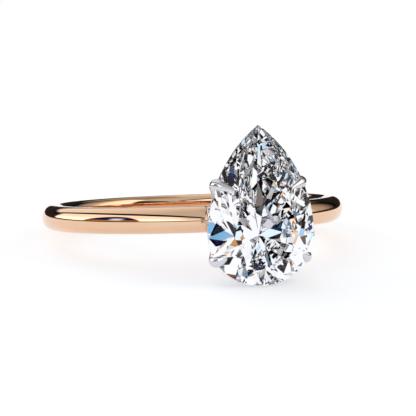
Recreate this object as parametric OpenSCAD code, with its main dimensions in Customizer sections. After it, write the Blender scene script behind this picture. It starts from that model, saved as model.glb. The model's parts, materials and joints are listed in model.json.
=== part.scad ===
// Pear-shaped solitaire ring: a plain comfort-fit band, a raised four-claw
// basket and one pear brilliant. Units are millimetres.
//
// Frame: the finger hole runs along Z and its centre is the origin. The head
// stands out along -Y and the pear's tip points to +Z.

/* [Band] */
// Inside diameter of the finger hole (16.5 is US size 6)
finger_d = 16.5; // [15:0.1:20]
// Width of the band along the finger
band_w = 1.6; // [1.5:0.05:2]
// Thickness of the band's wall
band_t = 1.5; // [1.4:0.05:1.8]
// Depth of the domed outside, from its crest to the band's widest line
dome_d = 0.72; // [0.6:0.02:0.8]
// Width of the straight wall inside the finger hole
bore_flat = 0.7; // [0.5:0.05:0.9]

/* [Pear brilliant] */
// Width across the round end
stone_w = 6.4; // [6.2:0.1:6.6]
// Length from the tip to the round end
stone_l = 9.2; // [8.8:0.1:9.6]
// Depth of the round end as a share of half the width
belly_share = 0.9; // [0.85:0.01:1]
// Table width as a share of the stone's width
table_share = 0.6; // [0.56:0.01:0.64]
// Share of the distance to the tip that the table reaches
table_tip_share = 0.57; // [0.53:0.01:0.61]
// Height of the crown above the girdle
crown_h = 0.88; // [0.8:0.02:0.96]
// Depth of the pavilion below the girdle
pavilion_h = 2.65; // [2.55:0.05:2.7]
// Thickness of the girdle at its widest points
girdle_t = 0.2; // [0.18:0.01:0.26]
// Height at which the star facets end, as a share of the crown
star_end = 0.52; // [0.46:0.01:0.6]
// Depth at which the lower halves end, as a share of the pavilion
lower_half_end = 0.77; // [0.7:0.01:0.82]
// How far the culet lies from the belly's widest line, towards the round end
culet_drop = 0; // [0:0.05:0.2]

/* [Setting] */
// Height of the middle of the girdle above the band's outer surface
girdle_rise = 4.05; // [3.95:0.05:4.4]
// Distance of the belly's widest line below the band's middle plane
belly_drop = 0.8; // [0.6:0.05:0.9]
// Diameter of the claw wire
claw_d = 0.8; // [0.7:0.02:0.86]
// How far the claw wire's centre passes outside the girdle
claw_offset = 0.1; // [0.05:0.01:0.15]
// Where the upper claws' feet stand, across and along the stone
upper_foot_x = 1.2; // [1.1:0.05:1.3]
upper_foot_y = 1.45; // [1.35:0.05:1.5]
// Where the lower claws' feet stand
lower_foot_x = 1.3; // [1.2:0.05:1.4]
lower_foot_y = 0.2; // [0.15:0.05:0.3]
// Height of the gallery rail and the base rail
rail_h = 0.5; // [0.4:0.05:0.55]
// Place of the upper claws: 0 is the belly's side and 2 is the tip
upper_claw_place = 0.85; // [0.8:0.01:0.9]
// Place of the lower claws: 4 is the belly's side and 6 is the round end
lower_claw_place = 4.66; // [4.6:0.02:4.72]

/* [Hidden] */

ROSE_GOLD = "#e3ae86";
WHITE_GOLD = "#d9d7dc";
DIAMOND = "#eef4f8";

// Band
bore_r = finger_d / 2;
band_r = bore_r + band_t;
comfort_r = (band_w - bore_flat) / 2;
band_facets = 240;
arc_steps = 10;

// Pear outline: a half ellipse for the belly and one arc for each flank
belly_r = stone_w / 2;
belly_d = belly_share * belly_r;
tip_y = stone_l - belly_d;
flank_r = (tip_y * tip_y + belly_r * belly_r) / (2 * belly_r);
flank_x = flank_r - belly_r;
tip_turn = asin(tip_y / flank_r);
mains = 8;
tip_main = 2;
outline_steps = 12;

// Levels of the stone, measured from the middle of its girdle
girdle_top = girdle_t / 2;
table_z = girdle_top + crown_h;
star_z = girdle_top + star_end * crown_h;
lower_half_z = -girdle_top - lower_half_end * pavilion_h;
culet = [0, -culet_drop, -girdle_top - pavilion_h];
cutter = 4 * stone_l;

// Setting
claw_r = claw_d / 2;
girdle_y = band_r + girdle_rise;
saddle_h = 0.5;
saddle_top = 0.1 - girdle_rise;
base_top = saddle_top + rail_h;
shoulder_h = 0.45;
shoulder_r = claw_r + 0.03;
talon_turn = 80;
talon_l = 1.3;
talon_end_r = 0.1;
seat_l = 1.6;
seat_room = 0.03;
seat_crown = 38;
seat_pavilion = 44;
gallery_top = -1.65;
gallery_share = 0.7;
gallery_mid = 0.4;
gallery_w = 0.5;
base_x = 0.95;
base_out = 1.15;
base_in = 0.45;
saddle_x = 4;
below = 2;

// --- Band -----------------------------------------------------------------

// Points of an elliptical arc from angle a to angle b, with centre c and half axes r
function arc(c, r, a, b) =
    [for (i = [0:arc_steps])
        let (t = a + (b - a) * i / arc_steps)
        c + [r.x * cos(t), r.y * sin(t)]];

// Section of the band: domed outside, rounded edges and a straight wall inside
module band_section() {
    polygon(concat(
        arc([band_r - dome_d, 0], [dome_d, band_w / 2], -90, 90),
        arc([bore_r + comfort_r, bore_flat / 2], [comfort_r, comfort_r], 90, 180),
        arc([bore_r + comfort_r, -bore_flat / 2], [comfort_r, comfort_r], 180, 270)));
}

module band_solid() {
    rotate_extrude($fn = band_facets) band_section();
}

module shank() {
    color(ROSE_GOLD) band_solid();
}

// --- Pear outline -----------------------------------------------------------
// A station s runs round the outline: 0 right of the belly, 2 the tip, 4 left
// of the belly and 6 the round end. The eight mains are at the whole stations.

function flank_point(s) =
    [flank_r * cos(tip_turn * s / 2) - flank_x, flank_r * sin(tip_turn * s / 2)];

function flip(p) = [-p.x, p.y];

function outline(s) =
    s <= 2 ? flank_point(s)
    : s <= 4 ? flip(flank_point(4 - s))
    : [belly_r * cos(45 * s), belly_d * sin(45 * s)];

// Direction that points squarely out of the outline at a station
function unit(v) = v / norm(v);
function outward(s) =
    s == tip_main ? [0, 1]
    : s < 2 ? [cos(tip_turn * s / 2), sin(tip_turn * s / 2)]
    : s <= 4 ? flip(outward(4 - s))
    : unit([cos(45 * s) / belly_r, sin(45 * s) / belly_d]);

// The gallery's outline: a smaller pear, grown or shrunk by an even distance
module pear_2d(grow) {
    k = gallery_share;
    r = k * flank_r + grow;
    translate([0, (1 - k) * gallery_mid]) {
        polygon([for (s = [4:1 / outline_steps:8]) k * outline(s) + grow * outward(s)]);
        intersection() {
            translate([-k * flank_x, 0]) circle(r, $fn = 180);
            translate([k * flank_x, 0]) circle(r, $fn = 180);
            translate([-stone_l, 0]) square(2 * stone_l);
        }
    }
}

// --- Pear brilliant -----------------------------------------------------------

function lift(p, z) = [p.x, p.y, z];
function wrap(k) = k % mains;

// The plane through three points, as [point, normal away from the stone's middle]
function away(p, n) = [p, n * p < 0 ? -n : n];
function plane(a, b, c) = away(a, cross(b - a, c - a));
function level(z) = [[0, 0, z], [0, 0, 1]];

// The point where three planes meet
function meet(a, b, c) =
    ((a[0] * a[1]) * cross(b[1], c[1]) + (b[0] * b[1]) * cross(c[1], a[1]) + (c[0] * c[1]) * cross(a[1], b[1]))
    / (a[1] * cross(b[1], c[1]));

// A long facet that rises or falls from main k's girdle point towards a target
function main_plane(k, z, target) =
    let (p = lift(outline(k), z), n = outward(k))
    plane(p, target, p + [-n.y, n.x, 0]);

function table_point(k) =
    let (share = k == tip_main ? table_tip_share : table_share, c = [0, -culet_drop])
    lift(c + share * (outline(k) - c), table_z);

function bezel(k) = main_plane(k, girdle_top, table_point(k));
function pavilion_main(k) = main_plane(k, -girdle_top, culet);
function star_point(k) = meet(bezel(k), bezel(wrap(k + 1)), level(star_z));
function lower_point(k) = meet(pavilion_main(k), pavilion_main(wrap(k + 1)), level(lower_half_z));

// The two half facets between mains k and k + 1, from the girdle to an inner point
function halves(k, z, inner) =
    [for (s = [k, k + 1]) plane(lift(outline(s), z), lift(outline(k + 0.5), z), inner)];

// Where a plane crosses the upright line through an outline point
function on_plane(p, f) = lift(p, (f[0] * f[1] - p.x * f[1].x - p.y * f[1].y) / f[1].z);

// Girdle edge from main k to main k + 1, scalloped by the two half facets there
function girdle_edge(k, z, inner) =
    let (pair = halves(k, z, inner))
    [for (i = [0:outline_steps - 1])
        on_plane(outline(k + i / outline_steps), pair[i < outline_steps / 2 ? 0 : 1])];

girdle_points = mains * outline_steps;
half_steps = outline_steps / 2;
upper_edge = [for (k = [0:mains - 1]) each girdle_edge(k, girdle_top, star_point(k))];
lower_edge = [for (k = [0:mains - 1]) each girdle_edge(k, -girdle_top, lower_point(k))];
stone_points = concat(upper_edge, lower_edge,
    [for (k = [0:mains - 1]) table_point(k)],
    [for (k = [0:mains - 1]) star_point(k)],
    [for (k = [0:mains - 1]) lower_point(k)],
    [culet]);

// Places of each kind of point in that list; the girdle's go round and meet
function top_i(i) = i % girdle_points;
function bottom_i(i) = girdle_points + i % girdle_points;
function table_i(k) = 2 * girdle_points + wrap(k);
function star_i(k) = table_i(mains - 1) + 1 + wrap(k);
function lower_i(k) = star_i(mains - 1) + 1 + wrap(k);
culet_i = lower_i(mains - 1) + 1;

function run(first) = [for (i = [0:half_steps]) first + i];
function back(list) = [for (i = [len(list) - 1:-1:0]) list[i]];

// Each facet goes round clockwise as it is seen from outside the stone
table_facet = [for (k = [mains - 1:-1:0]) table_i(k)];
star_facets = [for (k = [0:mains - 1]) [table_i(k), table_i(k + 1), star_i(k)]];
bezel_facets = [for (k = [0:mains - 1])
    [table_i(k), star_i(k), top_i(k * outline_steps), star_i(k + mains - 1)]];
upper_half_facets = [for (h = [0:2 * mains - 1])
    concat([star_i(floor(h / 2))], [for (i = back(run(h * half_steps))) top_i(i)])];
girdle_facets = [for (i = [0:girdle_points - 1])
    [top_i(i), top_i(i + 1), bottom_i(i + 1), bottom_i(i)]];
lower_half_facets = [for (h = [0:2 * mains - 1])
    concat([lower_i(floor(h / 2))], [for (i = run(h * half_steps)) bottom_i(i)])];
main_facets = [for (k = [0:mains - 1])
    [culet_i, lower_i(k + mains - 1), bottom_i(k * outline_steps), lower_i(k)]];

// The stone with the middle of its girdle at the origin, tip to +Y, table to +Z
module brilliant() {
    polyhedron(stone_points,
        concat([table_facet], star_facets, bezel_facets, upper_half_facets,
               girdle_facets, lower_half_facets, main_facets));
}

// --- Head, in the stone's own frame ---------------------------------------------

module in_head() {
    translate([0, -girdle_y, -belly_drop]) rotate([90, 0, 0]) children();
}

// Puts a claw drawn in X (out from the girdle) and Z (up) at a station
module at_station(s) {
    p = outline(s);
    n = outward(s);
    translate([p.x, p.y, 0]) rotate([0, 0, atan2(n.y, n.x)]) children();
}

// A foot's place as a station sees it: out from the girdle and along it
function from_station(s, foot) =
    let (d = foot - outline(s), n = outward(s))
    [d * n, d * [-n.y, n.x]];

// The claw's lean, as the way it goes from its foot up to the girdle
function lean(s, foot) = concat([claw_offset, 0] - from_station(s, foot), -base_top);

// A round wire that leans out to the girdle, with a pointed talon over the crown
module claw_wire(s, foot) {
    way = lean(s, foot);
    translate([claw_offset, 0, 0])
        rotate([0, 0, atan2(way.y, way.x)]) rotate([0, acos(way.z / norm(way)), 0])
            translate([0, 0, -norm(way) - below])
                cylinder(h = norm(way) + below + shoulder_h, r = claw_r, $fn = 48);
}

module claw_talon(s, foot) {
    way = lean(s, foot);
    translate([claw_offset, 0, 0] + shoulder_h * way / norm(way)) {
        sphere(shoulder_r, $fn = 48);
        rotate([0, -talon_turn, 0]) cylinder(h = talon_l, r1 = claw_r, r2 = talon_end_r, $fn = 48);
    }
}

// The notch that the stone's edge sits in, with a little room all round
module seat() {
    rotate([90, 0, 0]) linear_extrude(2 * claw_d, center = true)
        polygon([
            [seat_room, -girdle_top],
            [seat_room, girdle_top],
            [-seat_l, girdle_top + (seat_l + seat_room) * tan(seat_crown)],
            [-seat_l, -girdle_top - (seat_l + seat_room) * tan(seat_pavilion)]]);
}

module claw(s, foot) {
    color(WHITE_GOLD) in_head() at_station(s) difference() {
        union() {
            claw_wire(s, foot);
            claw_talon(s, foot);
        }
        seat();
        translate([-cutter / 2, -cutter / 2, base_top - cutter]) cube(cutter);
    }
}

upper_right = upper_claw_place;
upper_left = 4 - upper_claw_place;
lower_right = 12 - lower_claw_place;
lower_left = lower_claw_place;
upper_foot = [upper_foot_x, upper_foot_y];
lower_foot = [lower_foot_x, lower_foot_y];

module claw_upper_left() {
    claw(upper_left, flip(upper_foot));
}

module claw_upper_right() {
    claw(upper_right, upper_foot);
}

module claw_lower_left() {
    claw(lower_left, flip(lower_foot));
}

module claw_lower_right() {
    claw(lower_right, lower_foot);
}

// The gallery rail is notched where the four claws pass
module gallery_rail() {
    color(WHITE_GOLD) in_head() difference() {
        translate([0, 0, gallery_top - rail_h]) linear_extrude(rail_h) difference() {
            pear_2d(gallery_w / 2);
            pear_2d(-gallery_w / 2);
        }
        at_station(upper_right) claw_wire(upper_right, upper_foot);
        at_station(upper_left) claw_wire(upper_left, flip(upper_foot));
        at_station(lower_left) claw_wire(lower_left, flip(lower_foot));
        at_station(lower_right) claw_wire(lower_right, lower_foot);
    }
}

// A slot with round ends, centred over the band
module base_2d(r) {
    translate([0, belly_drop]) {
        translate([-base_x, 0]) circle(r, $fn = 72);
        translate([base_x, 0]) circle(r, $fn = 72);
        translate([-base_x, -r]) square([2 * base_x, 2 * r]);
    }
}

module base_rail() {
    color(WHITE_GOLD) in_head() translate([0, 0, base_top - rail_h]) linear_extrude(rail_h)
        difference() {
            base_2d(base_out);
            base_2d(base_in);
        }
}

// A short bridge under the base rail, cut to fit the top of the band
module head_saddle() {
    color(WHITE_GOLD) difference() {
        in_head() translate([-saddle_x / 2, belly_drop - band_w / 2, saddle_top - saddle_h])
            cube([saddle_x, band_w, saddle_h]);
        band_solid();
    }
}

module pear_diamond() {
    color(DIAMOND) in_head() brilliant();
}

shank();
head_saddle();
base_rail();
gallery_rail();
claw_upper_left();
claw_upper_right();
claw_lower_left();
claw_lower_right();
pear_diamond();
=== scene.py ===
import json
import math

import bmesh
import bpy
from mathutils import Matrix, Vector


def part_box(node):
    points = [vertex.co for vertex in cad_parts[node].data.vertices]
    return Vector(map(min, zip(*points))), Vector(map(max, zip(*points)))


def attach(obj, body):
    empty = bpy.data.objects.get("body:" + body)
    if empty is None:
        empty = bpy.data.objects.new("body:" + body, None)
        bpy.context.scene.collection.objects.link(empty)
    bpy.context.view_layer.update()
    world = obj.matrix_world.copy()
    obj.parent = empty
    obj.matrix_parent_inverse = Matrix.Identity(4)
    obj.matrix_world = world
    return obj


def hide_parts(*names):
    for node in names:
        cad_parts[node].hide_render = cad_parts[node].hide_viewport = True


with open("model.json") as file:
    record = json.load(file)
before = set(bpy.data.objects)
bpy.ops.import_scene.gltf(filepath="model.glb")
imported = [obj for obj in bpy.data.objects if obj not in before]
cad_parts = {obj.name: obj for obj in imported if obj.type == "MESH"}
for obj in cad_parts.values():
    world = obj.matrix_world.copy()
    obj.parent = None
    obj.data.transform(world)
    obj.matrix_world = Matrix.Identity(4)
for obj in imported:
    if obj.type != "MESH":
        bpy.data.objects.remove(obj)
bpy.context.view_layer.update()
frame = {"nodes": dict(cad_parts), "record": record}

# Solitaire ring: a rose-gold comfort-fit band, a white-gold basket with four
# talon claws and a pear brilliant. Lengths below are millimetres unless they
# say otherwise; every mesh is brought to metres when its object is made.
MM = 0.001


# --- Places and sizes taken from the frame ---------------------------------------

def span(node):
    """Lowest and highest corner of a CAD node, in millimetres."""
    low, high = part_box(node)
    return low / MM, high / MM


def finger_hole():
    """The bore mount of the record."""
    return next(m for m in frame["record"]["mounts"] if m["name"] == "finger_bore")


band_low, band_high = span("shank")
stone_low, stone_high = span("pear_diamond")
base_low, base_high = span("base_rail")
gallery_low, gallery_high = span("gallery_rail")
saddle_low, saddle_high = span("head_saddle")

bore_r = finger_hole()["dims"]["r_mm"]
bore_flat = finger_hole()["dims"]["length_mm"]
band_r = band_high.x
band_w = band_high.z - band_low.z
dome_d = 0.72
comfort_r = (band_w - bore_flat) / 2

stone_points = [v.co / MM for v in frame["nodes"]["pear_diamond"].data.vertices]
belly_z = max(stone_points, key=lambda p: p.x).z
tip_depths = [p.y for p in stone_points if p.z > stone_high.z - 0.01]
girdle_y = -(min(tip_depths) + max(tip_depths)) / 2
belly_r = stone_high.x
belly_d = belly_z - stone_low.z
tip_h = stone_high.z - belly_z
flank_r = (tip_h ** 2 + belly_r ** 2) / (2 * belly_r)
flank_x = flank_r - belly_r
tip_turn = math.asin(tip_h / flank_r)

# The gallery's outline is a share of the stone's, drawn about a point above the belly
GALLERY_SHARE = 0.7
GALLERY_MID = 0.4
GALLERY_W = 0.5
GALLERY_ROUND = 0.2
# The base ring is a slot: how far its round ends are apart, and their two radii
BASE_X = 0.95
BASE_OUT = 1.15
BASE_IN = 0.45
BASE_ROUND = 0.18
SADDLE_ROUND = 0.05
# Edges that turn more than this, in radians, are rounded
RIM_TURN = 1.2

# The head's own frame: X across, Y to the pear's tip, Z up through the table
HEAD = Matrix.Translation((0, -girdle_y, belly_z)) @ Matrix.Rotation(math.radians(90), 4, "X")


# --- Camera and studio directions ---------------------------------------------------

REST_TILT = math.radians(7.18)
floor_up = Vector((0, -math.sin(REST_TILT), math.cos(REST_TILT)))
camera_at = Vector((-30.936, -104.722, 5.558))
aim_at = Vector((0.985, -0.289, 0.232))
CAMERA_ROLL = math.radians(0.27)
CAMERA_LENS = 145.38
look = (aim_at - camera_at).normalized()
studio_right = look.cross(floor_up).normalized()
studio_ahead = floor_up.cross(studio_right).normalized()


def place_camera():
    """A long lens from the front left, a little above the band's crest."""
    data = bpy.data.cameras.new("camera")
    data.sensor_width = 36
    data.lens = CAMERA_LENS
    data.clip_start = 0.001
    data.clip_end = 5
    camera = bpy.data.objects.new("camera", data)
    back = -look
    right = Matrix.Rotation(-CAMERA_ROLL, 3, look) @ studio_right
    up = back.cross(right)
    turn = Matrix((right, up, back)).transposed().to_4x4()
    camera.matrix_world = Matrix.Translation(camera_at * MM) @ turn
    bpy.context.scene.collection.objects.link(camera)
    bpy.context.scene.camera = camera


# --- Shader tools ----------------------------------------------------------------------

class Value:
    """A shader socket that adds a Math node for each operator it is used with."""

    def __init__(self, shader, socket):
        self.shader = shader
        self.socket = socket

    def math(self, operation, *others):
        sockets = dict(enumerate([self, *others]))
        return self.shader.add("ShaderNodeMath", {"operation": operation}, sockets)

    def __add__(self, other):
        return self.math("ADD", other)

    __radd__ = __add__

    def __mul__(self, other):
        return self.math("MULTIPLY", other)

    __rmul__ = __mul__

    def __sub__(self, other):
        return self.math("SUBTRACT", other)

    def __rsub__(self, other):
        return self * -1 + other

    def __truediv__(self, other):
        return self.math("DIVIDE", other)

    def __pow__(self, other):
        return self.math("POWER", other)

    def size(self):
        return self.math("ABSOLUTE")

    def most(self, other):
        return self.math("MAXIMUM", other)

    def fade(self, start, end):
        """0 at start, 1 at end, with a smooth change between."""
        names = {"Value": self, "From Min": start, "From Max": end}
        return self.shader.add(
            "ShaderNodeMapRange", {"interpolation_type": "SMOOTHSTEP"}, names)

    def within(self, low, high, soft):
        """1 between low and high, with soft edges."""
        return self.fade(low - soft, low + soft) * self.fade(high + soft, high - soft)


class Shader:
    """A node tree, emptied and ready for one material or the world."""

    def __init__(self, owner):
        owner.use_nodes = True
        self.tree = owner.node_tree
        self.tree.nodes.clear()

    def add(self, kind, settings, sockets, out=0):
        """A node of this kind. Returns its output as a Value."""
        node = self.tree.nodes.new(kind)
        for name, setting in settings.items():
            setattr(node, name, setting)
        for name, value in sockets.items():
            socket = node.inputs[name]
            if isinstance(value, Value):
                self.tree.links.new(value.socket, socket)
            else:
                socket.default_value = value
        return Value(self, node.outputs[out]) if node.outputs else None

    def mix(self, share, first, second):
        """The first colour where share is 0 and the second where it is 1."""
        colours = {"Factor": share, 6: first, 7: second}
        return self.add("ShaderNodeMix", {"data_type": "RGBA"}, colours, 2)

    def along(self, vector, axis):
        """How far a vector reaches along an axis."""
        settings = {"operation": "DOT_PRODUCT"}
        return self.add("ShaderNodeVectorMath", settings, {0: vector, 1: axis}, "Value")

    def place(self):
        """The point on the piece, in metres."""
        return self.add("ShaderNodeTexCoord", {}, {}, "Object")

    def noise(self, vector, scale, detail=2.0, roughness=0.5):
        sockets = {"Vector": vector, "Scale": scale, "Detail": detail, "Roughness": roughness}
        return self.add("ShaderNodeTexNoise", {}, sockets)

    def join(self, x, y, z):
        return self.add("ShaderNodeCombineXYZ", {}, {0: x, 1: y, 2: z})

    def parts(self, vector):
        """The three numbers of a vector."""
        first = self.add("ShaderNodeSeparateXYZ", {}, {0: vector})
        outputs = first.socket.node.outputs
        return [Value(self, outputs[i]) for i in range(3)]

    def raise_by(self, height, depth, normal=None):
        """A bump of this depth in metres."""
        sockets = {"Strength": 1.0, "Distance": depth, "Height": height}
        if normal:
            sockets["Normal"] = normal
        return self.add("ShaderNodeBump", {}, sockets)


def rgb(r, g, b):
    return (r, g, b, 1.0)


WHITE = rgb(1.0, 1.0, 1.0)


# --- Materials ------------------------------------------------------------------------

# How many of each mark there are in a metre
BUFFING_LINES = 24000.0
HAIRLINES = 60000.0
COLOUR_DRIFT = 420.0
SWELLS = 900.0
# Marks run round the band: this stretches them along it, in metres for each radian
MARK_STRETCH = 0.0016
SWELL_DEPTH = 1.2e-6
BUFFING_DEPTH = 1.2e-7


def polished_gold(name, light, deep):
    """Mirror-polished metal: a faint change of colour, buffing lines and hairlines."""
    material = bpy.data.materials.new(name)
    shader = Shader(material)
    place = shader.place()
    x, y, z = shader.parts(place)
    turn = x.math("ARCTAN2", y)
    around = shader.join(turn * MARK_STRETCH, (x * x + y * y) ** 0.5, z)
    buffing = shader.noise(around, BUFFING_LINES, 3.0, 0.6)
    hairlines = shader.noise(around, HAIRLINES, 1.0).fade(0.7, 0.78)
    drift = shader.noise(place, COLOUR_DRIFT, 3.0)
    wave = shader.noise(place, SWELLS, 1.0)
    colour = shader.mix(drift.fade(0.35, 0.65), rgb(*light), rgb(*deep))
    roughness = 0.01 + buffing * 0.02 + drift * 0.01 + hairlines * 0.05
    swell = shader.raise_by(wave, SWELL_DEPTH)
    lines = shader.raise_by(buffing, BUFFING_DEPTH, swell)
    sockets = {"Base Color": colour, "Metallic": 1.0, "Roughness": roughness, "Normal": lines}
    surface = shader.add("ShaderNodeBsdfPrincipled", {}, sockets)
    shader.add("ShaderNodeOutputMaterial", {}, {"Surface": surface})
    return material


DIAMOND_IOR = 2.42
GIRDLE_GRAIN = 30000.0
GIRDLE_DEPTH = 4e-7


def clear_diamond():
    """Colourless diamond, polished on every facet and matt round its girdle."""
    material = bpy.data.materials.new("diamond")
    shader = Shader(material)
    place = shader.place()
    facing = shader.add("ShaderNodeNewGeometry", {}, {}, "True Normal")
    upright = shader.parts(facing)[1].size()
    grain = shader.noise(place, GIRDLE_GRAIN, 4.0, 0.7)
    girdle = upright.fade(0.12, 0.05)
    roughness = girdle * (0.12 + grain * 0.2)
    normal = shader.raise_by(grain * girdle, GIRDLE_DEPTH)
    sockets = {
        "Base Color": WHITE, "Roughness": roughness, "IOR": DIAMOND_IOR,
        "Specular Tint": rgb(0.12, 0.12, 0.12), "Transmission Weight": 1.0, "Normal": normal}
    surface = shader.add("ShaderNodeBsdfPrincipled", {}, sockets)
    shader.add("ShaderNodeOutputMaterial", {}, {"Surface": surface})
    return material


FLOOR_GLOW = 0.48
FLOOR_MOTTLE = 60.0


def pale_floor():
    """A matt white table that glows a little, so that shadows on it stay faint."""
    material = bpy.data.materials.new("floor")
    shader = Shader(material)
    place = shader.place()
    mottle = shader.noise(place, FLOOR_MOTTLE, 3.0).fade(0.2, 0.8)
    colour = shader.mix(mottle, rgb(0.78, 0.795, 0.83), rgb(0.80, 0.815, 0.85))
    sockets = {
        "Base Color": colour, "Roughness": 0.9, "Specular IOR Level": 0.0,
        "Emission Color": rgb(0.95, 0.97, 1.0), "Emission Strength": FLOOR_GLOW}
    surface = shader.add("ShaderNodeBsdfPrincipled", {}, sockets)
    shader.add("ShaderNodeOutputMaterial", {}, {"Surface": surface})
    return material


# --- Light: a studio of soft panels all round --------------------------------------------
# Headings are degrees from straight ahead, positive to the right. A panel is two
# ranges on its wall, along and high, each as its start, end and softness.

CEILING = 0.66
CEILING_LIFT = 0.4
BROWN_DIM = 0.5
BROWN_GREEN = 0.07
BROWN_BLUE = 0.22
NEAR_BLACK = 0.98

WINDOW_HEADING = -118
WINDOW = ((-3.4, 2.3, 0.3), (0.05, 0.93, 0.02))
WINDOW_FRAME = ((-4.5, 6.0, 0.4), (0.87, 1.42, 0.03))
WINDOW_TOP = 1.3
WINDOW_LIFT = 0.9
WINDOW_DIM = 0.35

SCREEN_HEADING = 85
SCREEN = ((-1.2, 0.7, 0.1), (0.08, 1.6, 0.05))
SCREEN_FRAME = ((-1.3, 5.0, 0.15), (-0.2, 1.0, 0.06))
SCREEN_FRAME_DARK = 0.93
SCREEN_FAR = 0.55
SCREEN_NEAR = 1.1

BLOT_ALONG = (-0.42, 0.53, 0.05)
BLOT_LOW = -0.12
BLOT_TOP = 0.62
BLOT_MIDDLE = 0.05
BLOT_CURVE = 2.2
BLOT_SOFT = 0.05
BLOT_ORANGE = (0.58, 0.3, 0.045)
BLOT_NAVY = (0.01, 0.012, 0.12)
GLEAM = ((-0.12, 0.06, 0.06), (0.14, 0.36, 0.07))
GLEAM_BLUE = (0.9, 1.2, 2.0)
HORIZON_BROWN = (0.03, 0.02, 0.02)


def wall(shader, right, ahead, up, heading):
    """Place on an upright wall: how far along it and how high, as tangents."""
    side = math.sin(math.radians(heading))
    front = math.cos(math.radians(heading))
    depth = (right * side + ahead * front)
    safe = depth.most(0.02)
    return (right * front - ahead * side) / safe, up / safe, depth.fade(0.02, 0.08)


def panel_on(along, high, seen, ranges):
    """1 on a panel of a wall and 0 off it."""
    return along.within(*ranges[0]) * high.within(*ranges[1]) * seen


def studio(shader, right, ahead, up):
    """How bright the studio is in a direction, and how far the light there is brown."""
    # The ceiling, brighter to the far left and brown to the far right
    ceiling = CEILING + (ahead - right).fade(-0.3, 1.3) * CEILING_LIFT
    brown = right.fade(0.0, 0.15) * ahead.fade(0.85, 0.7) * ahead.fade(-0.35, -0.05)
    ceiling = ceiling * (1 - brown * BROWN_DIM)
    # A dark wall low down ahead, higher to the right
    side = right.fade(-0.1, 0.1)
    low_ahead = ahead.fade(-0.05, 0.2) * up.fade(side * 0.4 + 0.33, side * 0.15 + 0.25)
    glow = ceiling * (1 - low_ahead * NEAR_BLACK)
    # The long window behind on the left, dimmer at its top and towards the camera
    along, high, seen = wall(shader, right, ahead, up, WINDOW_HEADING)
    window = panel_on(along, high, seen, WINDOW)
    frame_edge = panel_on(along, high, seen, WINDOW_FRAME)
    lift = high.fade(0.6, 0.1) * WINDOW_LIFT
    level = (WINDOW_TOP + lift) * (1 - along.fade(-1.0, -1.8) * WINDOW_DIM)
    glow = glow * (1 - frame_edge * NEAR_BLACK)
    glow = glow * (1 - window) + window * level
    # The screen on the right, in a dark frame and brighter at its near end
    along, high, seen = wall(shader, right, ahead, up, SCREEN_HEADING)
    screen = panel_on(along, high, seen, SCREEN)
    frame_edge = panel_on(along, high, seen, SCREEN_FRAME)
    level = along.fade(-1.15, -0.3) * SCREEN_FAR + along.fade(-0.35, 0.1) * SCREEN_NEAR
    glow = glow * (1 - frame_edge * SCREEN_FRAME_DARK)
    glow = glow * (1 - screen) + screen * level
    return glow, brown


def add_blot(shader, right, ahead, up, light):
    """The orange and dark-blue shape with a pale gleam that the band mirrors."""
    along, high, seen = wall(shader, right, ahead, up, WINDOW_HEADING)
    off_centre = along - BLOT_MIDDLE
    lid = BLOT_TOP - off_centre * off_centre * BLOT_CURVE
    blot = panel_on(along, high, seen, (BLOT_ALONG, (BLOT_LOW, lid, BLOT_SOFT)))
    colour = shader.mix(high.fade(0.1, 0.2), rgb(*BLOT_ORANGE), rgb(*BLOT_NAVY))
    gleam = along.within(*GLEAM[0]) * high.within(*GLEAM[1])
    colour = shader.mix(gleam, colour, rgb(*GLEAM_BLUE))
    return shader.mix(blot, light, colour)


# Bright and dark bars of light that the stone plays with. Each wave has its own
# direction (right, ahead, up), start and strength. Their sum is dark below the cut
# and reaches full brightness a soft edge above it. The fan sets the colours apart.
STONE_WAVES = [
    (0.18, 15.49, 0.39, 3.95, 0.56),
    (-6.22, 0.15, 1.94, 3.72, 0.94),
    (1.54, 9.51, 7.81, 4.77, 0.61),
    (-2.80, -2.90, 2.40, 0.59, 0.43),
    (1.73, 3.57, -0.75, 3.20, 0.34),
    (5.33, -1.18, 9.97, 4.51, 0.70),
    (-1.50, 2.68, -3.89, 4.56, 0.95),
    (1.34, 3.06, 1.55, 5.41, 0.83),
    (5.77, -0.42, -6.46, 0.31, 0.54),
]
STONE_FAN = 0.009
STONE_CUT = -1.12
STONE_SOFT = 1.15
STONE_TINT = (0.99, 1.0, 1.05)
STONE_DARK = 0.004


def stone_light(shader, right, ahead, up):
    """The bars as the stone sees them, fanned a little by colour to give its fire."""
    channels = []
    for step, tint in zip((1, 0, -1), STONE_TINT):
        total = 0.0
        for r, a, u, start, strength in STONE_WAVES:
            turn = right * r + ahead * a + up * u + (start + step * STONE_FAN * (r + a + u))
            total = turn.math("COSINE") * strength + total
        bright = total.fade(STONE_CUT, STONE_CUT + STONE_SOFT) * tint
        channels.append(bright + STONE_DARK)
    return shader.add("ShaderNodeCombineColor", {}, dict(enumerate(channels)))


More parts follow.
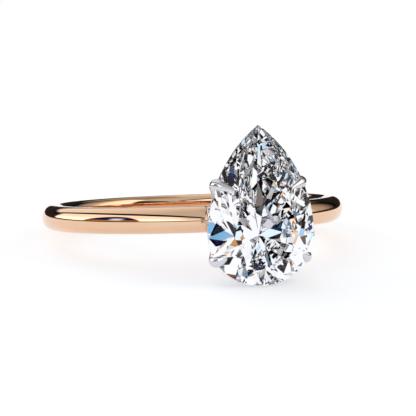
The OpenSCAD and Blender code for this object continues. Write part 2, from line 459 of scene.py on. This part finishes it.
def light_studio():
    """White to the camera, bars to the stone's inside and the studio to everything else."""
    world = bpy.data.worlds.new("studio")
    bpy.context.scene.world = world
    shader = Shader(world)
    direction = shader.add("ShaderNodeTexCoord", {}, {}, "Generated")
    right = shader.along(direction, tuple(studio_right))
    ahead = shader.along(direction, tuple(studio_ahead))
    up = shader.along(direction, tuple(floor_up))
    through = shader.add("ShaderNodeLightPath", {}, {}, "Is Transmission Ray")
    to_camera = shader.add("ShaderNodeLightPath", {}, {}, "Is Camera Ray")
    glow, brown = studio(shader, right, ahead, up)
    green = glow * (1 - brown * BROWN_GREEN)
    blue = glow * (1 - brown * BROWN_BLUE)
    light = shader.add("ShaderNodeCombineColor", {}, {0: glow, 1: green, 2: blue})
    light = add_blot(shader, right, ahead, up, light)
    ground = shader.mix(up.fade(-0.09, -0.075), WHITE, rgb(*HORIZON_BROWN))
    light = shader.mix(up.fade(0.025, 0.045), ground, light)
    light = shader.mix(through, light, stone_light(shader, right, ahead, up))
    light = shader.mix(to_camera, light, WHITE)
    background = shader.add("ShaderNodeBackground", {}, {"Color": light, "Strength": 1.0})
    shader.add("ShaderNodeOutputWorld", {}, {"Surface": background})


# --- Mesh tools -------------------------------------------------------------------------

def finish_piece(name, bm, material, slot, *nodes, sharp=35):
    """Turns a bmesh in millimetres into a finished piece on the ring."""
    bmesh.ops.remove_doubles(bm, verts=bm.verts, dist=1e-5)
    bmesh.ops.recalc_face_normals(bm, faces=bm.faces)
    bmesh.ops.transform(bm, matrix=Matrix.Scale(MM, 4), verts=bm.verts)
    mesh = bpy.data.meshes.new(name)
    bm.to_mesh(mesh)
    bm.free()
    mesh.shade_smooth()
    mesh.set_sharp_from_angle(angle=math.radians(sharp))
    mesh.materials.append(material)
    piece = bpy.data.objects.new(name, mesh)
    bpy.context.scene.collection.objects.link(piece)
    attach(piece, "root")
    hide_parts(*nodes)
    return piece


def bevel_edges(bm, edges, width, steps):
    bmesh.ops.bevel(
        bm, geom=edges, offset=width, offset_type="OFFSET", segments=steps, profile=0.5,
        affect="EDGES", material=-1, clamp_overlap=True)


def grow_arc(bm, start, centre, angle, steps):
    """Spins a chain of edges from one point round a centre, and returns its last point."""
    made = bmesh.ops.spin(
        bm, geom=[start], cent=centre, axis=(0, 0, 1), dvec=(0, 0, 0),
        angle=angle, steps=steps, use_duplicate=False)
    return next(v for v in made["geom_last"] if isinstance(v, bmesh.types.BMVert))


def pear_loop(bm, share, grow, height):
    """A closed pear outline in the head's frame: a share of the stone's, grown evenly."""
    before = set(bm.edges)
    half = share * belly_r + grow
    middle = share * flank_x
    reach = math.acos(middle / (share * flank_r + grow))
    right = bm.verts.new((half, 0, height))
    grow_arc(bm, right, (-middle, 0, height), reach, 40)
    left = bm.verts.new((-half, 0, height))
    grow_arc(bm, left, (middle, 0, height), -reach, 40)
    flanks = set(bm.verts)
    grow_arc(bm, bm.verts.new((-half, 0, height)), (0, 0, height), math.pi, 72)
    belly = [v for v in bm.verts if v not in flanks]
    squash = (share * belly_d + grow) / half
    bmesh.ops.scale(bm, vec=(1, squash, 1), verts=belly)
    verts = list({v for e in bm.edges if e not in before for v in e.verts})
    bmesh.ops.translate(bm, vec=(0, (1 - share) * GALLERY_MID, 0), verts=verts)
    bmesh.ops.remove_doubles(bm, verts=verts, dist=1e-4)
    return [e for e in bm.edges if e not in before]


def slot_loop(bm, radius, height):
    """A closed outline with two straight sides and round ends, centred over the band."""
    centre = Matrix.Translation((0, -belly_z, height))
    made = bmesh.ops.create_circle(
        bm, cap_ends=False, radius=radius, segments=96, matrix=centre)
    for vert in made["verts"]:
        if abs(vert.co.x) > 1e-4:
            vert.co.x += math.copysign(BASE_X, vert.co.x)
    return list({e for v in made["verts"] for e in v.link_edges})


# --- Pieces ------------------------------------------------------------------------------

def band_profile(bm):
    """Section of the band in the plane y = 0: domed outside, comfort-fit inside."""
    wide = band_r - dome_d
    half = band_w / 2
    stretch = Matrix.Translation((wide, 0, 0)) @ Matrix.Diagonal((dome_d / half, 1, 1, 1))
    stand = stretch @ Matrix.Rotation(math.radians(90), 4, "X")
    bmesh.ops.create_circle(bm, cap_ends=False, radius=half, segments=96, matrix=stand)
    everything = [*bm.verts, *bm.edges]
    bmesh.ops.bisect_plane(
        bm, geom=everything, dist=1e-6, plane_co=(wide, 0, 0), plane_no=(1, 0, 0),
        clear_inner=True)
    ends = [v for v in bm.verts if len(v.link_edges) == 1]
    made = bmesh.ops.extrude_vert_indiv(bm, verts=ends)
    corners = made["verts"]
    for corner in corners:
        corner.co.x = bore_r
    bm.edges.new(corners)
    bmesh.ops.bevel(
        bm, geom=corners, offset=comfort_r, offset_type="OFFSET", segments=12, profile=0.5,
        affect="VERTICES", material=-1, clamp_overlap=False)


def make_band(gold):
    bm = bmesh.new()
    band_profile(bm)
    bmesh.ops.spin(
        bm, geom=[*bm.verts, *bm.edges], cent=(0, 0, 0), axis=(0, 0, 1), dvec=(0, 0, 0),
        angle=2 * math.pi, steps=360, use_merge=True, use_duplicate=False)
    finish_piece("band", bm, gold, "rose_gold", "shank", sharp=60)


def head_level(corner):
    """Height of a corner in the head's frame, measured from the girdle."""
    return -corner.y - girdle_y


def raise_rail(bm, loops, high, low, round_off):
    """Turns two outlines, one inside the other, into a rail with rounded edges."""
    ring = bmesh.ops.bridge_loops(bm, edges=loops)["faces"]
    made = bmesh.ops.extrude_face_region(bm, geom=ring)["geom"]
    raised = [v for v in made if isinstance(v, bmesh.types.BMVert)]
    bmesh.ops.translate(bm, vec=(0, 0, high - low), verts=raised)
    bmesh.ops.recalc_face_normals(bm, faces=bm.faces)
    rims = [e for e in bm.edges if e.is_manifold and e.calc_face_angle() > RIM_TURN]
    rims = [e for e in rims if abs(e.verts[0].co.z - e.verts[1].co.z) < 1e-4]
    bevel_edges(bm, rims, round_off, 5)
    bmesh.ops.transform(bm, matrix=HEAD, verts=bm.verts)


def make_gallery(metal):
    """The pear-shaped rail half way down the basket, round like drawn wire."""
    low = head_level(gallery_high)
    high = head_level(gallery_low)
    bm = bmesh.new()
    loops = [e for side in (-1, 1)
             for e in pear_loop(bm, GALLERY_SHARE, side * GALLERY_W / 2, low)]
    raise_rail(bm, loops, high, low, GALLERY_ROUND)
    finish_piece("gallery_wire", bm, metal, "white_gold", "gallery_rail", sharp=40)


def make_base(metal):
    """The small oval ring that the four claws stand on, across the band."""
    low = head_level(base_high)
    high = head_level(base_low)
    bm = bmesh.new()
    loops = slot_loop(bm, BASE_IN, low) + slot_loop(bm, BASE_OUT, low)
    raise_rail(bm, loops, high, low, BASE_ROUND)
    finish_piece("base_ring", bm, metal, "white_gold", "base_rail", sharp=40)


def make_saddle(metal):
    """The bridge between the band and the basket; its foot is sunk in the band."""
    bm = bmesh.new()
    bmesh.ops.create_cube(bm, size=1)
    size = saddle_high - saddle_low
    middle = (saddle_high + saddle_low) / 2
    shape = Matrix.Translation(middle) @ Matrix.Diagonal((*size, 1))
    bmesh.ops.transform(bm, matrix=shape, verts=bm.verts)
    bevel_edges(bm, bm.edges[:], SADDLE_ROUND, 4)
    finish_piece("basket_saddle", bm, metal, "white_gold", "head_saddle")


CLAW_R = 0.4
CLAW_OUT = 0.1
WIRE_STEPS = 8
# The bend starts this far past the girdle along the wire, so below it when negative
BEND_R = 0.42
BEND_START = -0.5
BEND_STEPS = 14
BEND_THINNING = 0.08
BEND_EASE = 1.5
# The talon rises over the crown at this angle, in degrees
TALON_RISE = 32
TALON_L = 1.05
TALON_STEPS = 12
TALON_R = 0.285
TALON_EASE = 0.8
TALON_TIP_R = 0.035


def make_claw(name, node, station, foot, metal, stone):
    """One claw: a raked round wire that bends over the girdle and ends in a talon."""
    frame_of_claw = at_station(station)
    foot = Vector((*foot, head_level(base_low)))
    girdle = Vector((CLAW_OUT, 0, 0))
    foot = frame_of_claw.inverted() @ foot
    along = (girdle - foot).normalized()
    rise = math.radians(TALON_RISE)
    talon = Vector((-math.cos(rise), 0, math.sin(rise)))
    axis = along.cross(talon).normalized()
    bend = along.angle(talon)
    bend_at = girdle + along * BEND_START
    pivot = bend_at + axis.cross(along) * BEND_R

    bm = bmesh.new()
    start = Matrix.Translation(foot) @ along.to_track_quat("Z", "Y").to_matrix().to_4x4()
    made = bmesh.ops.create_circle(
        bm, cap_ends=True, radius=CLAW_R, segments=40, matrix=start)
    loop = list({e for v in made["verts"] for e in v.link_edges})

    def grow(loop, step):
        out = bmesh.ops.extrude_edge_only(bm, edges=loop)["geom"]
        ring = {g for g in out if isinstance(g, bmesh.types.BMVert)}
        bmesh.ops.transform(bm, matrix=step, verts=list(ring))
        edges = [g for g in out if isinstance(g, bmesh.types.BMEdge)]
        return [e for e in edges if e.verts[0] in ring and e.verts[1] in ring]

    def thin(centre, share):
        shift = Matrix.Translation(centre)
        return shift @ Matrix.Scale(share, 4) @ shift.inverted()

    for part in range(WIRE_STEPS):
        loop = grow(loop, Matrix.Translation((bend_at - foot) / WIRE_STEPS))
    hinge = Matrix.Translation(pivot)
    swing = hinge @ Matrix.Rotation(bend / BEND_STEPS, 4, axis) @ hinge.inverted()
    centre = bend_at.copy()
    width = CLAW_R
    for part in range(1, BEND_STEPS + 1):
        centre = swing @ centre
        wanted = CLAW_R - BEND_THINNING * (part / BEND_STEPS) ** BEND_EASE
        loop = grow(loop, thin(centre, wanted / width) @ swing)
        width = wanted
    step = talon * TALON_L / TALON_STEPS
    for part in range(1, TALON_STEPS + 1):
        wanted = TALON_R * (1 - part / TALON_STEPS) ** TALON_EASE + TALON_TIP_R
        centre = centre + step
        loop = grow(loop, thin(centre, wanted / width) @ Matrix.Translation(step))
        width = wanted
    bmesh.ops.contextual_create(bm, geom=loop)
    bmesh.ops.transform(bm, matrix=HEAD @ frame_of_claw, verts=bm.verts)
    piece = finish_piece(name, bm, metal, "white_gold", node, sharp=50)
    cut_out(piece, stone)


def at_station(s):
    """Turns X out of the pear's outline at a station: 0 right, 2 tip, 4 left, 6 bottom."""
    if s <= 2:
        turn = tip_turn * s / 2
        place = (flank_r * math.cos(turn) - flank_x, flank_r * math.sin(turn), 0)
    elif s <= 4:
        turn = math.pi - tip_turn * (4 - s) / 2
        place = (flank_x + flank_r * math.cos(turn), flank_r * math.sin(turn), 0)
    else:
        turn = math.radians(45 * s)
        place = (belly_r * math.cos(turn), belly_d * math.sin(turn), 0)
        turn = math.atan2(math.sin(turn) / belly_d, math.cos(turn) / belly_r)
    return Matrix.Translation(place) @ Matrix.Rotation(turn, 4, "Z")


SEAT_ROOM = 1.004


def stone_copy():
    """The stone a hair larger, which cuts the claws' seats."""
    bm = bmesh.new()
    bm.from_mesh(frame["nodes"]["pear_diamond"].data)
    bmesh.ops.remove_doubles(bm, verts=bm.verts, dist=1e-7)
    bmesh.ops.dissolve_limit(bm, angle_limit=1e-4, verts=bm.verts, edges=bm.edges)
    middle = Matrix.Translation(Vector((0, -girdle_y, belly_z)) * MM)
    swell = middle @ Matrix.Scale(SEAT_ROOM, 4) @ middle.inverted()
    bmesh.ops.transform(bm, matrix=swell, verts=bm.verts)
    mesh = bpy.data.meshes.new("seat_cutter")
    bm.to_mesh(mesh)
    bm.free()
    cutter = bpy.data.objects.new("seat_cutter", mesh)
    bpy.context.scene.collection.objects.link(cutter)
    return cutter


def cut_out(piece, cutter):
    """Takes the cutter's shape out of a piece for good."""
    cut = piece.modifiers.new("seat", "BOOLEAN")
    cut.operation = "DIFFERENCE"
    cut.solver = "EXACT"
    cut.object = cutter
    seen = bpy.context.evaluated_depsgraph_get()
    mesh = bpy.data.meshes.new_from_object(piece.evaluated_get(seen))
    piece.modifiers.clear()
    piece.data = mesh


# Each claw: its side, its station on the outline and where its foot stands
UPPER = 0.85
LOWER = 4.66
CLAWS = [
    ("upper_left", 4 - UPPER, (-1.2, 1.45)), ("upper_right", UPPER, (1.2, 1.45)),
    ("lower_left", LOWER, (-1.3, 0.2)), ("lower_right", 12 - LOWER, (1.3, 0.2))]


FLOOR_R = 60
FLOOR_GAP = 0.004


def make_floor():
    """A round pale table that the ring's stone and the back of its band rest on."""
    low_point = min(stone_points, key=lambda p: p.dot(floor_up))
    turn = Matrix.Rotation(REST_TILT, 4, "X")
    bm = bmesh.new()
    centre = Matrix.Translation(floor_up * (low_point.dot(floor_up) - FLOOR_GAP))
    bmesh.ops.create_circle(
        bm, cap_ends=True, radius=FLOOR_R, segments=128, matrix=centre @ turn)
    bmesh.ops.transform(bm, matrix=Matrix.Scale(MM, 4), verts=bm.verts)
    mesh = bpy.data.meshes.new("floor")
    bm.to_mesh(mesh)
    bm.free()
    mesh.materials.append(pale_floor())
    floor = bpy.data.objects.new("floor", mesh)
    bpy.context.scene.collection.objects.link(floor)
    floor.visible_transmission = False


# --- Build ---------------------------------------------------------------------------------

place_camera()
light_studio()
make_floor()

rose_gold = polished_gold("rose_gold", (0.840, 0.565, 0.380), (0.825, 0.545, 0.362))
white_gold = polished_gold("white_gold", (0.690, 0.680, 0.715), (0.670, 0.660, 0.700))
diamond = clear_diamond()

make_band(rose_gold)
make_saddle(white_gold)
make_base(white_gold)
make_gallery(white_gold)
cutter = stone_copy()
for side, station, foot in CLAWS:
    make_claw("talon_" + side, "claw_" + side, station, foot, white_gold, cutter)
bpy.data.objects.remove(cutter)

stone = frame["nodes"]["pear_diamond"]
stone.data.materials.clear()
stone.data.materials.append(diamond)

scene = bpy.context.scene
scene.view_settings.view_transform = "Standard"
scene.cycles.max_bounces = 48
scene.cycles.transmission_bounces = 48
scene.cycles.glossy_bounces = 12
scene.cycles.diffuse_bounces = 3
